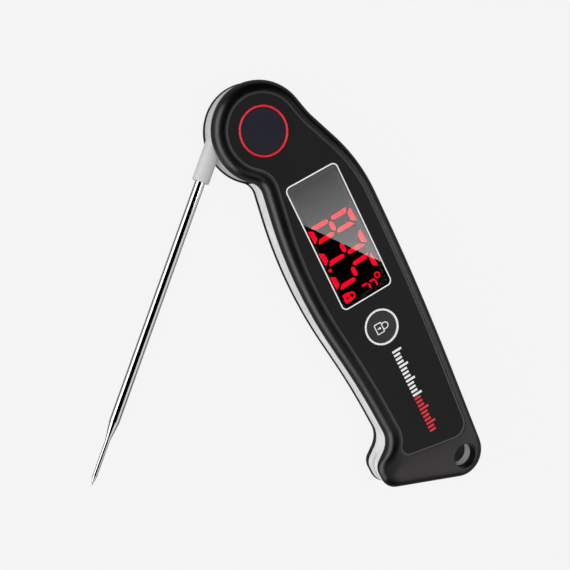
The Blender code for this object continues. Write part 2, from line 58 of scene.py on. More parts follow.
def box_of(node):
    """Lowest and highest corner of a CAD node, in millimetres."""
    low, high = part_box(node)
    return low / MM, high / MM


def centre_of(node):
    low, high = box_of(node)
    return (low + high) / 2


def radius_of(node):
    """Radius of a round CAD node that stands along Z."""
    low, high = box_of(node)
    return (high.y - low.y) / 2


# Heights of the layers, most of them from the frame.
FACE = box_of("face_panel")[1].z
PANEL_BACK = box_of("face_panel")[0].z
PANEL_FLOOR = PANEL_BACK - GAP
BAND_LOW = box_of("probe_hub")[0].z
BAND_HIGH = box_of("probe_hub")[1].z
REAR_EDGE = BAND_LOW - GAP
FRONT_EDGE = BAND_HIGH + GAP
REAR_FLOOR = box_of("unit_button")[0].z + 2.0
FRONT_CEILING = 16.5
BAND_INSET = 0.35

# Pivot end.
HEAD_RADIUS = 17.2
PANEL_HEAD_RADIUS = 13.0
HUB_RADIUS = HEAD_RADIUS - BAND_INSET
SHAFT_RADIUS = radius_of("pivot_shaft")
SHAFT_LOW = 2.7
SHAFT_HIGH = 15.6
PIVOT_SCREW_HOLE_RADIUS = 1.55
PIVOT_SCREW_SEAT_RADIUS = 3.4
SEAL_INNER = 8.6
SEAL_OUTER = 11.4
SEAL_DEPTH = 1.5
WASHER_DEPTH = 0.9
WAKE_MAGNET_ARM = 13.8
WAKE_MAGNET_ANGLE = radians(20)
ACCENT_OUTER = radius_of("red_accent_ring")
ACCENT_INNER = ACCENT_OUTER - 0.85

# Probe, measured along its own line, which passes beside the pivot axis.
REST_OPENING = radians(48.25)
PROBE_OFFSET = 12.35
PROBE_HEIGHT = (BAND_LOW + BAND_HIGH) / 2
PROBE_RADIUS = 1.75
ARM_RADIUS = 2.95
ARM_END = 22.7
TUBE_START = 6.0
TAPER_START = 107.3
TAPER_END = 114.0
TIP_END = 129.7
TIP_RADIUS = 0.8
CHANNEL_HALF_HEIGHT = 2.15
CHANNEL_SIDE = PROBE_OFFSET - PROBE_RADIUS - GAP
CHANNEL_END = 117.5
TIP_SLOT_HALF_HEIGHT = 1.3
TIP_SLOT_SIDE = PROBE_OFFSET - TIP_RADIUS - GAP

# Display window and buttons.
LENS_LOW, LENS_HIGH = box_of("display_lens")
WINDOW = (LENS_LOW.x, LENS_LOW.y, LENS_HIGH.x, LENS_HIGH.y)
WINDOW_CORNER = 1.8
MODULE_LOW = 14.9
LOCK_CENTRE = centre_of("lock_button_ring").xy
LOCK_RADIUS = radius_of("lock_button")
LOCK_RING_OUTER = radius_of("lock_button_ring") - 0.12
UNIT_CENTRE = centre_of("unit_button").xy
UNIT_RADIUS = 2.3
UNIT_BOTTOM = box_of("unit_button")[0].z

# Tail and battery bay.
HANG_CENTRE = (139.5, 15.5)
HANG_RADIUS = 4.6
HANG_MOUTH_RADIUS = 5.0
HANG_MOUTH_DEPTH = 1.0
SLEEVE_RADIUS = 5.4
SLEEVE_END = box_of("front_shell")[0].z
COLLAR_END = box_of("rear_shell")[1].z
TAIL_RADIUS = 9.3
COVER_LOW, COVER_HIGH = box_of("battery_cover")
COVER = (COVER_LOW.x, COVER_LOW.y, COVER_HIGH.x, COVER_HIGH.y)
COVER_THICKNESS = 1.1
CELL_LOW, CELL_HIGH = box_of("battery_cell")
COVER_SCREW = centre_of("cover_screw").xy
COVER_SCREW_HOLE_RADIUS = 0.95
HOUSING_SCREWS = [centre_of(f"housing_screw_{number}").xy for number in range(1, 5)]
HOUSING_HOLE_RADIUS = 1.3
HOUSING_HEAD_SEAT_RADIUS = 2.3

# Outline corners as (x, y, rounding radius), anticlockwise from the neck on the probe's side.
# The body and the panel have matching corners in the same order, so that a surface can run
# between them.
BODY_CORNERS = [
    (16.0, -8.4, 5.5),
    (52.3, -14.55, 165.0),
    (97.2, -8.7, 250.0),
    (119.3, -7.7, 8.0),
    (125.4, -16.2, 5.0),
    (134.5, -16.0, 6.0),
    (152.1, 23.3, TAIL_RADIUS),
    (76.0, 28.15, 1000.0),
    (24.2, 28.05, 60.0),
    (1.7, 18.25, 30.0),
]
PANEL_CORNERS = [
    (14.2, -3.8, 8.0),
    (52.6, -9.8, 150.0),
    (94.7, -4.4, 380.0),
    (118.9, -3.3, 10.0),
    (123.2, -6.2, 3.0),
    (126.6, -5.0, 3.0),
    (132.3, 20.5, 5.5),
    (74.0, 24.1, 1000.0),
    (25.6, 24.05, 52.0),
    (2.4, 14.0, 34.0),
]
CAVITY_CORNERS = [
    (24.5, -6.4, 2.0),
    (36.0, -8.4, 8.0),
    (72.0, -8.4, 20.0),
    (110.0, -5.2, 20.0),
    (131.0, -5.2, 2.0),
    (131.0, 22.4, 2.0),
    (70.0, 25.7, 100.0),
    (30.0, 25.3, 15.0),
    (24.5, 23.9, 2.0),
]


# Outlines


def head_corners(radius):
    """Corners of a polygon that touches the head's circle, each to be rounded close to it."""
    touching = [105, 165, 225, 285, 320]
    corners = []
    for first, last in zip(touching, touching[1:]):
        middle = radians((first + last) / 2)
        distance = radius / cos(radians(last - first) / 2)
        corners.append((distance * cos(middle), distance * sin(middle), 0.985 * radius))
    return corners


def neighbours(items):
    """Each item of a closed list with the one before it and the one after it."""
    return zip(items[-1:] + items[:-1], items, items[1:] + items[:1])


def turn_between(first, second):
    return atan2(first.cross(second), first.dot(second))


def corner_arc(before, corner, after, radius, steps):
    """Points of the arc that rounds one corner."""
    arriving = (corner - before).normalized()
    leaving = (after - corner).normalized()
    turn = turn_between(arriving, leaving)
    start = corner - arriving * radius * tan(abs(turn) / 2)
    to_centre = Vector((-arriving.y, arriving.x)) * copysign(radius, turn)
    points = []
    for step in range(steps + 1):
        arm = to_centre.copy()
        arm.rotate(Matrix.Rotation(turn * step / steps, 2))
        points.append(start + to_centre - arm)
    return points


def rounded(corners, steps=ARC_STEPS):
    """Points of a closed outline whose corners are rounded by arcs."""
    points = []
    for before, (x, y, radius), after in neighbours(corners):
        places = Vector(before[:2]), Vector((x, y)), Vector(after[:2])
        points += corner_arc(*places, radius, steps)
    return points


def softened(profile, steps=5):
    """An open profile of (radius, height, rounding) corners, with the corners rounded."""
    places = [Vector(corner[:2]) for corner in profile]
    points = [places[0]]
    for index in range(1, len(profile) - 1):
        if profile[index][2] > 0:
            points += corner_arc(*places[index - 1 : index + 2], profile[index][2], steps)
        else:
            points.append(places[index])
    return points + [places[-1]]


def inset(corners, distance):
    """The corners of the same outline moved inwards, or outwards for a negative distance."""
    moved = []
    for before, (x, y, radius), after in neighbours(corners):
        corner = Vector((x, y))
        arriving = (corner - Vector(before[:2])).normalized()
        leaving = (Vector(after[:2]) - corner).normalized()
        turn = turn_between(arriving, leaving)
        inwards = Vector((-arriving.y, arriving.x)) + arriving * -tan(turn / 2)
        place = corner + inwards * distance
        moved.append((place.x, place.y, radius - copysign(distance, turn)))
    return moved


def rectangle(box, radius, grow=0.0):
    """Corners of a rounded rectangle from its lowest and highest x and y."""
    left, low, right, high = box[0] - grow, box[1] - grow, box[2] + grow, box[3] + grow
    reach = radius + grow
    return [(left, low, reach), (right, low, reach), (right, high, reach), (left, high, reach)]


def around(centre, width, depth):
    return (centre[0] - width / 2, centre[1] - depth / 2, centre[0] + width / 2, centre[1] + depth / 2)


def circle(radius, centre=(0.0, 0.0), segments=ROUND_SEGMENTS):
    angles = [2 * pi * step / segments for step in range(segments)]
    return [Vector((centre[0] + radius * cos(a), centre[1] + radius * sin(a))) for a in angles]


def at_height(outline, height):
    return [(point.x, point.y, height) for point in outline]


def between(first, second, share):
    return [a.lerp(b, share) for a, b in zip(first, second)]


BODY = BODY_CORNERS + head_corners(HEAD_RADIUS)
PANEL = PANEL_CORNERS + head_corners(PANEL_HEAD_RADIUS)


# Meshes


def add_rings(mesh, rings, closed=False):
    """Adds the surface through rings of equally many points, capped at both ends unless closed."""
    loops = [[mesh.verts.new(Vector(point) * MM) for point in ring] for ring in rings]
    pairs = list(zip(loops, loops[1:]))
    if closed:
        pairs.append((loops[-1], loops[0]))
    else:
        mesh.faces.new(loops[0])
        mesh.faces.new(loops[-1])
    for low, high in pairs:
        for index in range(len(low)):
            mesh.faces.new((low[index - 1], low[index], high[index], high[index - 1]))


def shade(data, sharp=30):
    """Shades a mesh smooth, apart from its sharp edges and the faces that lie level."""
    data.shade_smooth()
    data.set_sharp_from_angle(angle=radians(sharp))
    for face in data.polygons:
        if abs(face.normal.z) > 0.9999:
            face.use_smooth = False


def to_object(name, mesh):
    bmesh.ops.recalc_face_normals(mesh, faces=mesh.faces)
    data = bpy.data.meshes.new(name)
    mesh.to_mesh(data)
    mesh.free()
    shade(data)
    solid = bpy.data.objects.new(name, data)
    bpy.context.scene.collection.objects.link(solid)
    return solid


def loft(name, rings, closed=False):
    mesh = bmesh.new()
    add_rings(mesh, rings, closed)
    return to_object(name, mesh)


def prism(name, outline, low, high):
    return loft(name, [at_height(outline, low), at_height(outline, high)])


def prisms(name, outlines, low, high):
    """Several prisms of the same height in one mesh."""
    mesh = bmesh.new()
    for outline in outlines:
        add_rings(mesh, [at_height(outline, low), at_height(outline, high)])
    return to_object(name, mesh)


def loop_rings(inner, outer, low, high):
    """Rings of a flat loop between two outlines of equally many points."""
    rings = [at_height(inner, low), at_height(outer, low)]
    return rings + [at_height(outer, high), at_height(inner, high)]


def soft_prism(name, corners, low, high, edge, steps=4):
    """A prism whose edges at both ends are rounded by the edge radius."""
    rings = []
    angles = [pi / 2 * step / steps for step in range(steps + 1)]
    for angle in angles:
        outline = rounded(inset(corners, edge * (1 - sin(angle))))
        rings.append(at_height(outline, low + edge * (1 - cos(angle))))
    for angle in reversed(angles):
        outline = rounded(inset(corners, edge * (1 - sin(angle))))
        rings.append(at_height(outline, high - edge * (1 - cos(angle))))
    return loft(name, rings)


def turned(name, profile, centre=(0.0, 0.0), segments=ROUND_SEGMENTS, closed=False):
    """A solid of revolution about Z, from (radius, height) pairs."""
    rings = [at_height(circle(radius, centre, segments), height) for radius, height in profile]
    return loft(name, rings, closed)


def round_topped(inner, outer, base, shoulder, rise, steps):
    """Profile of a ring with a rounded top, from its inner and outer radius."""
    middle, half = (inner + outer) / 2, (outer - inner) / 2
    profile = [(inner, base), (outer, base)]
    for step in range(steps + 1):
        angle = pi * step / steps
        profile.append((middle + half * cos(angle), shoulder + rise * sin(angle)))
    return profile


def combine(solid, other, operation="DIFFERENCE"):
    other.hide_render = True
    modifier = solid.modifiers.new(other.name, "BOOLEAN")
    modifier.operation = operation
    modifier.object = other


def hole(solid, name, radius, low, high, centre=(0.0, 0.0), segments=64):
    """Cuts a round hole along Z."""
    combine(solid, prism(name, circle(radius, centre, segments), low, high))


def settle(solid, sharp=30):
    """Turns the result of an object's modifiers into its mesh, and removes the cutters."""
    bpy.context.view_layer.update()
    graph = bpy.context.evaluated_depsgraph_get()
    data = bpy.data.meshes.new_from_object(solid.evaluated_get(graph))
    cutters = [modifier.object for modifier in solid.modifiers if modifier.type == "BOOLEAN"]
    solid.modifiers.clear()
    solid.data = data
    for cutter in cutters:
        bpy.data.objects.remove(cutter, do_unlink=True)
    shade(data, sharp)
    return solid


def lay_along_x(solid, x, y, z):
    """Turns a mesh that was built along Z onto X, with its base at this place."""
    solid.data.transform(Matrix.Translation(Vector((x, y, z)) * MM) @ Matrix.Rotation(pi / 2, 4, "Y"))
    return solid


def open_probe(solid):
    """Turns a mesh that was built in the closed position to the rest position."""
    solid.data.transform(Matrix.Rotation(-REST_OPENING, 4, "Z"))
    return solid


# Materials


def noise(nodes, links, scale, detail, source):
    texture = nodes.new("ShaderNodeTexNoise")
    texture.inputs["Scale"].default_value = scale
    texture.inputs["Detail"].default_value = detail
    links.new(source, texture.inputs["Vector"])
    return texture.outputs["Fac"]


# Noise stays between about these two values.
NOISE_LOW = 0.3
NOISE_HIGH = 0.7


def spread(nodes, links, source, low, high):
    """Maps noise onto a range."""
    ranged = nodes.new("ShaderNodeMapRange")
    ranged.inputs["From Min"].default_value = NOISE_LOW
    ranged.inputs["From Max"].default_value = NOISE_HIGH
    ranged.inputs["To Min"].default_value = low
    ranged.inputs["To Max"].default_value = high
    links.new(source, ranged.inputs["Value"])
    return ranged.outputs["Result"]


def shades(nodes, links, source, colour, mottle):
    """A colour that gets lighter and darker with the noise."""
    ramp = nodes.new("ShaderNodeValToRGB")
    darker, lighter = ramp.color_ramp.elements
    darker.position, lighter.position = NOISE_LOW, NOISE_HIGH
    darker.color = (*[channel * (1 - mottle) for channel in colour], 1)
    lighter.color = (*[channel * (1 + mottle) for channel in colour], 1)
    links.new(source, ramp.inputs["Fac"])
    return ramp.outputs["Color"]


def finish(
    name,
    colour,
    roughness,
    metallic=0.0,
    specular=0.5,
    grain=2600.0,
    relief=0.006,
    mottle=0.08,
    stretch=(1.0, 1.0, 1.0),
    coat=0.0,
):
    """A surface with fine moulded or machined relief, and slightly uneven colour and gloss.

    Grain is the number of relief waves in a metre, relief their height in millimetres, and stretch
    draws them out into brushed lines.
    """
    material = bpy.data.materials.new(name)
    material.use_nodes = True
    nodes, links = material.node_tree.nodes, material.node_tree.links
    shader = nodes["Principled BSDF"]
    shader.inputs["Metallic"].default_value = metallic
    shader.inputs["Specular IOR Level"].default_value = specular
    shader.inputs["Coat Weight"].default_value = coat
    place = nodes.new("ShaderNodeTexCoord").outputs["Object"]
    mapping = nodes.new("ShaderNodeMapping")
    mapping.inputs["Scale"].default_value = stretch
    links.new(place, mapping.inputs["Vector"])
    fine = noise(nodes, links, grain, 3.0, mapping.outputs["Vector"])
    broad = noise(nodes, links, 90.0, 4.0, place)
    links.new(shades(nodes, links, broad, colour, mottle), shader.inputs["Base Color"])
    uneven = 0.12 * roughness
    gloss = spread(nodes, links, broad, roughness - uneven, roughness + uneven)
    links.new(gloss, shader.inputs["Roughness"])
    bump = nodes.new("ShaderNodeBump")
    bump.inputs["Strength"].default_value = 1.0
    bump.inputs["Distance"].default_value = relief * MM
    links.new(fine, bump.inputs["Height"])
    links.new(bump.outputs["Normal"], shader.inputs["Normal"])
    return material


def metal(name, colour, roughness, **details):
    return finish(name, colour, roughness, metallic=1.0, **details)


def smoked_glass(name):
    """Clear tinted glass, polished so that it mirrors sharply."""
    material = finish(name, (0.5, 0.47, 0.48), 0.0, relief=0.0, grain=400.0, mottle=0.03)
    shader = material.node_tree.nodes["Principled BSDF"]
    shader.inputs["Transmission Weight"].default_value = 1.0
    shader.inputs["IOR"].default_value = 1.5
    return material


def lit_segment(name):
    """A lit LED segment, whose glow varies slightly along its length."""
    material = finish(name, (0.25, 0.01, 0.012), 0.5)
    nodes, links = material.node_tree.nodes, material.node_tree.links
    shader = nodes["Principled BSDF"]
    shader.inputs["Emission Color"].default_value = (1.0, 0.0, 0.012, 1.0)
    place = nodes.new("ShaderNodeTexCoord").outputs["Object"]
    glow = spread(nodes, links, noise(nodes, links, 260.0, 1.0, place), 3.9, 4.5)
    links.new(glow, shader.inputs["Emission Strength"])
    return material


MATERIALS = {
    "shell": finish("soft_touch_black", (0.0012, 0.0012, 0.0012), 0.32, specular=0.8, relief=0.004),
    "rear": finish("soft_touch_rear", (0.0016, 0.0016, 0.0016), 0.4, specular=0.6, relief=0.004),
    "panel": finish("satin_black_inlay", (0.0135, 0.0135, 0.0135), 0.42, specular=0.1, relief=0.002),
    # The inlay's bevel is coloured lighter than the inlay: a painted highlight for its thin light line.
    "panel_edge_painted_highlight": finish("inlay_edge_painted_highlight", (0.038, 0.037, 0.037), 0.45, specular=0.9, relief=0.001),
    "lens": smoked_glass("smoked_lens"),
    "module": finish("led_module_black", (0.002, 0.001, 0.001), 0.6, specular=0.1),
    "led": lit_segment("led_red"),
    "white_print": finish("white_print", (0.92, 0.92, 0.93), 0.4, relief=0.001, mottle=0.03),
    "red_print": finish("red_print", (0.78, 0.012, 0.03), 0.4, relief=0.001, mottle=0.05),
    "accent": finish("accent_red", (0.72, 0.02, 0.035), 0.3, relief=0.001, mottle=0.06),
    "navy": finish("navy_disc", (0.0145, 0.0145, 0.025), 0.5, specular=0.2, relief=0.002),
    "button": finish(
        "textured_grey", (0.03, 0.03, 0.031), 0.5, specular=0.3, grain=1900.0, relief=0.03, mottle=0.15
    ),
    "band": finish("light_grey_band", (0.78, 0.78, 0.785), 0.5, relief=0.004, mottle=0.03),
    "hub": finish("light_grey_hub", (0.58, 0.575, 0.585), 0.45, relief=0.006, mottle=0.04),
    "steel": metal("polished_probe", (0.86, 0.86, 0.87), 0.09, grain=1500.0, relief=0.0004, mottle=0.02),
    "turned_steel": metal(
        "turned_steel", (0.55, 0.55, 0.56), 0.3, grain=1800.0, relief=0.003, stretch=(1, 1, 6)
    ),
    "screw": metal("screw_steel", (0.5, 0.5, 0.51), 0.32, grain=2200.0, relief=0.004),
    "spring": metal("spring_steel", (0.42, 0.42, 0.44), 0.28, grain=1800.0, relief=0.002),
    "nickel": metal("magnet_nickel", (0.6, 0.59, 0.55), 0.22, relief=0.002, mottle=0.04),
    "contact": metal("contact_nickel", (0.66, 0.63, 0.56), 0.3, relief=0.003),
    "seal": finish("seal_rubber", (0.02, 0.02, 0.02), 0.75, specular=0.3, relief=0.01),
    "board": finish("solder_mask", (0.01, 0.13, 0.045), 0.3, grain=900.0, relief=0.012, mottle=0.25),
    "chip": finish("chip_package", (0.02, 0.02, 0.021), 0.55, relief=0.008),
    "switch": finish("switch_body", (0.28, 0.28, 0.29), 0.45, relief=0.006),
    "cell": finish("cell_wrap", (0.09, 0.1, 0.125), 0.25, relief=0.002, coat=0.4),
    "insulation": finish("lead_insulation", (0.55, 0.54, 0.5), 0.6, relief=0.01),
    "bead": finish("sensor_glass", (0.35, 0.06, 0.02), 0.15, relief=0.002),
    "unit": finish("unit_rubber", (0.035, 0.035, 0.037), 0.6, specular=0.3, grain=1600.0, relief=0.03),
    "cover": finish("cover_plastic", (0.008, 0.008, 0.0085), 0.5, specular=0.35, relief=0.012),
}


def show(piece, material, body, slot, *nodes):
    """Gives a piece its material, its body and the CAD nodes it stands for. The slot is not used."""
    piece.data.materials.clear()
    piece.data.materials.append(MATERIALS[material])
    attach(piece, body)
    if nodes:
        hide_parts(*nodes)
    return piece


# Housing


def rim(edge_height, flat_outline, flat_height, lip=0.35, bulge=1.0):
    """Rings of a pillowed edge: a small rounded lip, then a quarter ellipse up to the flat.

    A bulge below 1 makes the ellipse flatter, so that it falls away faster.
    """
    body = rounded(BODY)
    rings = []
    direction = copysign(1, flat_height - edge_height)
    tucked = rounded(inset(BODY, lip))
    for step in range(4):
        angle = pi / 2 * step / 4
        outline = between(tucked, body, sin(angle))
        rings.append(at_height(outline, edge_height + direction * lip * (1 - cos(angle))))
    start = edge_height + direction * lip
    for step in range(RIM_STEPS + 1):
        angle = pi / 2 * step / RIM_STEPS
        height = start + (flat_height - start) * sin(angle) ** (1 / bulge)
        rings.append(at_height(between(body, flat_outline, 1 - cos(angle) ** (1 / bulge)), height))
    return rings


def cut_screw_holes(solid, low, high):
    for number, centre in enumerate(HOUSING_SCREWS, 1):
        name = f"{solid.name}_screw_hole_{number}"
        hole(solid, name, HOUSING_HOLE_RADIUS, low, high, centre)


def display_module_box():
    """The display module's plan, centred under the window."""
    left, low, right, high = WINDOW
    return left + 2.4, low + 1.9, right - 2.4, high - 1.9


def bay_box():
    """The opening that the cell goes in through."""
    side = (CELL_LOW.y + CELL_HIGH.y) / 2
    return CELL_LOW.x - 1.4, side - 6.0, CELL_HIGH.x - 0.4, side + 6.0


def height_on(solid, x, y):
    """Height of a mesh's top surface over one place."""
    place = solid.ray_cast(Vector((x, y, 40)) * MM, Vector((0, 0, -1)))[1]
    return place.z / MM


def hang_hole_cutter(shell):
    """The hang hole with a rounded lip that follows the shell's slope round the hole."""
    lip, steps = 0.4, 6
    bpy.context.view_layer.update()
    mouth = circle(HANG_RADIUS + lip, HANG_CENTRE)
    heights = [height_on(shell, point.x, point.y) for point in mouth]
    rings = [at_height(circle(HANG_RADIUS, HANG_CENTRE), SLEEVE_END - 1)]
    for step in range(steps + 1):
        angle = pi / 2 * step / steps
        outline = circle(HANG_RADIUS + lip * (1 - cos(angle)), HANG_CENTRE)
        drop = lip * (1 - sin(angle))
        rings.append([(point.x, point.y, z - drop) for point, z in zip(outline, heights)])
    rings.append(at_height(mouth, FACE + 2))
    return loft("front_hang_hole", rings)


def build_front_cover():
    shell = loft("front_cover", rim(FRONT_EDGE, rounded(inset(PANEL, -0.4)), FACE))
    # Made before the cuts, because it measures the shell's height all round the hole.
    hang_hole = hang_hole_cutter(shell)
    combine(shell, prism("panel_recess", rounded(inset(PANEL, -0.22)), PANEL_FLOOR, FACE + 1))
    combine(shell, prism("front_cavity", rounded(CAVITY_CORNERS), FRONT_EDGE - 1, FRONT_CEILING))
    window = rounded(rectangle(display_module_box(), 1.0, GAP))
    combine(shell, prism("module_window", window, FRONT_EDGE - 1, FACE))
    hole(shell, "lock_hole", LOCK_RADIUS + GAP, FRONT_EDGE, FACE, LOCK_CENTRE)
    hole(shell, "shaft_socket", SHAFT_RADIUS + GAP, FRONT_EDGE - 1, SHAFT_HIGH + GAP)
    hole(shell, "pivot_screw_hole", PIVOT_SCREW_HOLE_RADIUS, FRONT_EDGE, FACE)
    hole(shell, "pivot_screw_seat", PIVOT_SCREW_SEAT_RADIUS, FRONT_CEILING, FACE)
    sleeve = circle(SLEEVE_RADIUS, HANG_CENTRE)
    combine(shell, prism("hang_sleeve", sleeve, SLEEVE_END, FRONT_EDGE + 1), "UNION")
    combine(shell, hang_hole)
    cut_screw_holes(shell, FRONT_EDGE - 1, FRONT_CEILING)
    settle(shell)
    show(shell, "shell", "handle", "front_shell_rubber", "front_shell")


def build_rear_cover():
    shell = loft("rear_cover", rim(REAR_EDGE, rounded(inset(BODY, 4.5)), 0.0, 0.2, 0.82))
    combine(shell, prism("rear_cavity", rounded(CAVITY_CORNERS), REAR_FLOOR, REAR_EDGE + 1))
    seat = rounded(rectangle(COVER, 3.0, GAP))
    combine(shell, prism("cover_seat", seat, -1, COVER_THICKNESS + GAP))
    combine(shell, prism("bay_opening", rounded(rectangle(bay_box(), 2.0)), -1, REAR_FLOOR + 1))
    hole(shell, "shaft_foot_socket", SHAFT_RADIUS + GAP, SHAFT_LOW - GAP, REAR_EDGE + 1)
    hole(shell, "unit_button_hole", UNIT_RADIUS + GAP, -1, REAR_FLOOR + 1, UNIT_CENTRE)
    mouth = [(HANG_MOUTH_RADIUS, -1), (HANG_MOUTH_RADIUS, 0), (HANG_RADIUS, HANG_MOUTH_DEPTH)]
    mouth.append((HANG_RADIUS, COLLAR_END + 1))
    collar = circle(SLEEVE_RADIUS, HANG_CENTRE)
    combine(shell, prism("hang_collar", collar, REAR_EDGE - 1, COLLAR_END), "UNION")
    combine(shell, turned("rear_hang_hole", mouth, HANG_CENTRE))
    hole(shell, "cover_screw_thread", COVER_SCREW_HOLE_RADIUS, -1, REAR_EDGE - 0.6, COVER_SCREW)
    cut_screw_holes(shell, -1, REAR_EDGE + 1)
    for number, centre in enumerate(HOUSING_SCREWS, 1):
        hole(shell, f"screw_seat_{number}", HOUSING_HEAD_SEAT_RADIUS, -1, REAR_FLOOR, centre)
    settle(shell)
    show(shell, "rear", "handle", "rear_shell_rubber", "rear_shell")


def cut_slot(band, name, start, end, side, half_height):
    """Cuts a slot that is open towards the probe, level with the probe."""
    box = (start, -30, end, -side)
    low, high = PROBE_HEIGHT - half_height, PROBE_HEIGHT + half_height
    combine(band, soft_prism(name, rectangle(box, 0.6), low, high, 0.5))


def build_light_band():
    """The light frame between the shells, with the probe's channel along its edge."""
    band = soft_prism("light_band", inset(BODY, BAND_INSET), BAND_LOW, BAND_HIGH, 0.4)
    combine(band, prism("frame_cavity", rounded(CAVITY_CORNERS), BAND_LOW - 1, BAND_HIGH + 1))
    hole(band, "hub_clearance", HUB_RADIUS + 2 * GAP, BAND_LOW - 1, BAND_HIGH + 1, segments=128)
    head_side = rounded(rectangle((-30, -30, 4.5, 30), 1.0))
    combine(band, prism("head_clearance", head_side, BAND_LOW - 1, BAND_HIGH + 1))
    cut_slot(band, "probe_channel", 0, CHANNEL_END, CHANNEL_SIDE, CHANNEL_HALF_HEIGHT)
    cut_slot(band, "tip_slot", CHANNEL_END - 1, 150, TIP_SLOT_SIDE, TIP_SLOT_HALF_HEIGHT)
    arm_side = -(PROBE_OFFSET - ARM_RADIUS - GAP)
    pocket = rounded(rectangle((0, -30, ARM_END + 2 * GAP, arm_side), 0.5))
    combine(band, prism("arm_pocket", pocket, BAND_LOW - 1, BAND_HIGH + 1))
    hole(band, "frame_hang_hole", HANG_RADIUS, BAND_LOW - 1, BAND_HIGH, HANG_CENTRE, 128)
    seat = SLEEVE_RADIUS + GAP
    hole(band, "sleeve_seat", seat, SLEEVE_END - GAP, BAND_HIGH + 1, HANG_CENTRE)
    hole(band, "collar_seat", seat, BAND_LOW - 1, COLLAR_END + GAP, HANG_CENTRE)
    cut_screw_holes(band, BAND_LOW - 1, BAND_HIGH + 1)
    settle(band)
    show(band, "band", "handle", "mid_frame_light_grey", "mid_frame")


def cross_recess(screw, centre, low, depth, reach):
    """Cuts a cross into a screw's head, which faces down."""
    for number, (width, length) in enumerate(((reach, reach / 4), (reach / 4, reach))):
        bar = rounded(rectangle(around(centre, width, length), 0.05), 2)
        combine(screw, prism(f"{screw.name}_cross_{number}", bar, low - 1, low + depth))


def build_housing_screws():
    head_low, head_high = 0.8, 2.1
    head, shank = 1.9, 1.0
    for number, centre in enumerate(HOUSING_SCREWS, 1):
        profile = [(0.3, head_low - 0.05, 0), (1.5, head_low, 0.3), (head, head_low + 0.4, 0.2)]
        profile += [(head, head_high, 0), (shank, head_high, 0), (shank, FRONT_CEILING - 0.8, 0)]
        profile += [(0.5, FRONT_CEILING - GAP, 0)]
        screw = turned(f"screw_{number}", softened(profile), centre, 48)
        cross_recess(screw, centre, head_low, 0.7, 2.2)
        settle(screw)
        show(screw, "screw", "handle", "screw_steel", f"housing_screw_{number}")


# Face


def build_panel():
    """The inlay, with a shallow bevel coloured lighter than the inlay, a painted highlight that shows as
    a thin light line.
    """
    side, edge, drop = -0.2, 0.8, 0.2
    outside = rounded(inset(PANEL, side))
    rings = [at_height(outside, PANEL_BACK), at_height(outside, FACE - drop)]
    rings.append(at_height(rounded(inset(PANEL, side + edge)), FACE))
    panel = loft("panel_inlay", rings)
    window = rounded(rectangle(WINDOW, WINDOW_CORNER, GAP))
    combine(panel, prism("panel_window", window, PANEL_FLOOR, FACE + 1))
    hole(panel, "panel_cap_hole", ACCENT_OUTER + GAP / 3, PANEL_FLOOR, FACE + 1, segments=128)
    hole(panel, "panel_lock_hole", LOCK_RING_OUTER + GAP / 3, PANEL_FLOOR, FACE + 1, LOCK_CENTRE, 128)
    settle(panel, 50)
    show(panel, "panel", "handle", "face_panel_gloss", "face_panel")
    # The bevel's faces take the lighter colour, a painted highlight.
    panel.data.materials.append(MATERIALS["panel_edge_painted_highlight"])
    for face in panel.data.polygons:
        height = face.center.z / MM
        slanted = 0.05 < face.normal.z < 0.9995
        if slanted and height > FACE - drop - 0.05:
            face.material_index = 1


def build_window():
    lens = soft_prism("window_lens", rectangle(WINDOW, WINDOW_CORNER), PANEL_BACK, FACE, 0.12, 2)
    show(lens, "lens", "handle", "display_lens_smoked", "display_lens")
    line_outside, line_inside = 0.24, -0.2
    outer = rounded(rectangle(WINDOW, WINDOW_CORNER, line_outside))
    inner = rounded(rectangle(WINDOW, WINDOW_CORNER, line_inside))
    low, high = FACE + 0.005, FACE + 0.04
    line = loft("window_frame_line", loop_rings(inner, outer, low, high), closed=True)
    show(line, "white_print", "handle", "lock_ring_white")
    module_outline = rounded(rectangle(display_module_box(), 0.8))
    module = prism("led_module", module_outline, MODULE_LOW, PANEL_FLOOR)
    show(module, "module", "handle", "led_display_black", "led_display")


def mirrored_x(outline, width):
    return [(width - x, y) for x, y in reversed(outline)]


def mirrored_y(outline, height):
    return [(x, height - y) for x, y in reversed(outline)]


DIGIT_WIDTH = 6.5
DIGIT_HEIGHT = 17.5
SEGMENTS_OF = {"8": "abcdefg", "3": "abcdg", "5": "acdfg"}


def digit_segments():
    """The seven segments of a digit, as outlines from its lower left corner."""
    middle = DIGIT_HEIGHT / 2
    under = DIGIT_HEIGHT - 1.8
    top = [(0.65, DIGIT_HEIGHT), (1.75, under), (4.75, under), (5.85, DIGIT_HEIGHT)]
    upper_left = [(0.0, 16.3), (0.0, 9.9), (0.8, 9.3), (1.65, 10.1), (1.65, 14.9)]
    bar = [(1.3, middle), (2.1, middle - 0.9), (4.4, middle - 0.9), (5.2, middle), (4.4, middle + 0.9)]
    bar.append((2.1, middle + 0.9))
    upper_right = mirrored_x(upper_left, DIGIT_WIDTH)
    return {
        "a": top,
        "b": upper_right,
        "c": mirrored_y(upper_right, DIGIT_HEIGHT),
        "d": mirrored_y(top, DIGIT_HEIGHT),
        "e": mirrored_y(upper_left, DIGIT_HEIGHT),
        "f": upper_left,
        "g": bar,
    }


def shifted(outline, x, y):
    """An outline moved to a place, a little slimmer and with slightly rounded corners."""
    radius, slimmer = 0.1, 0.2
    return rounded(inset([(px + x, py + y, radius) for px, py in outline], slimmer), 3)


